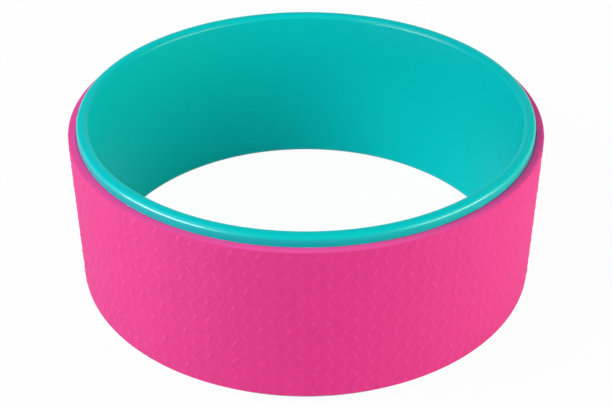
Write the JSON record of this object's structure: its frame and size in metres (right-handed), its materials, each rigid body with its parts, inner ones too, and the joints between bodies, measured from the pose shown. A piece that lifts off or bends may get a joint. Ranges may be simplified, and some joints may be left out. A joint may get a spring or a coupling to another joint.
{
  "type": "yoga wheel",
  "caption": "Rigid plastic ring with rounded rims and a textured foam tread bonded round its outside, used under the back, hands or feet for stretching and balance.",
  "frame": {"origin": "centre of the lower rim's flat land, on the wheel's axis, with the wheel lying on its side", "axes": "+Z along the wheel's axis, up from the lower rim to the upper rim; the tread's butt seam is on +Y"},
  "size_m": [0.33, 0.33, 0.128],
  "materials": {
    "ring_plastic": "polished teal plastic",
    "tread_foam": "matt pink foam with an embossed woven pattern",
    "bond_adhesive": "dried contact adhesive"
  },
  "bodies": {
    "root": {"core_ring": "ring_plastic", "adhesive_film": "bond_adhesive", "tread_pad": "tread_foam", "seam_bond": "bond_adhesive"}
  },
  "joints": []
}
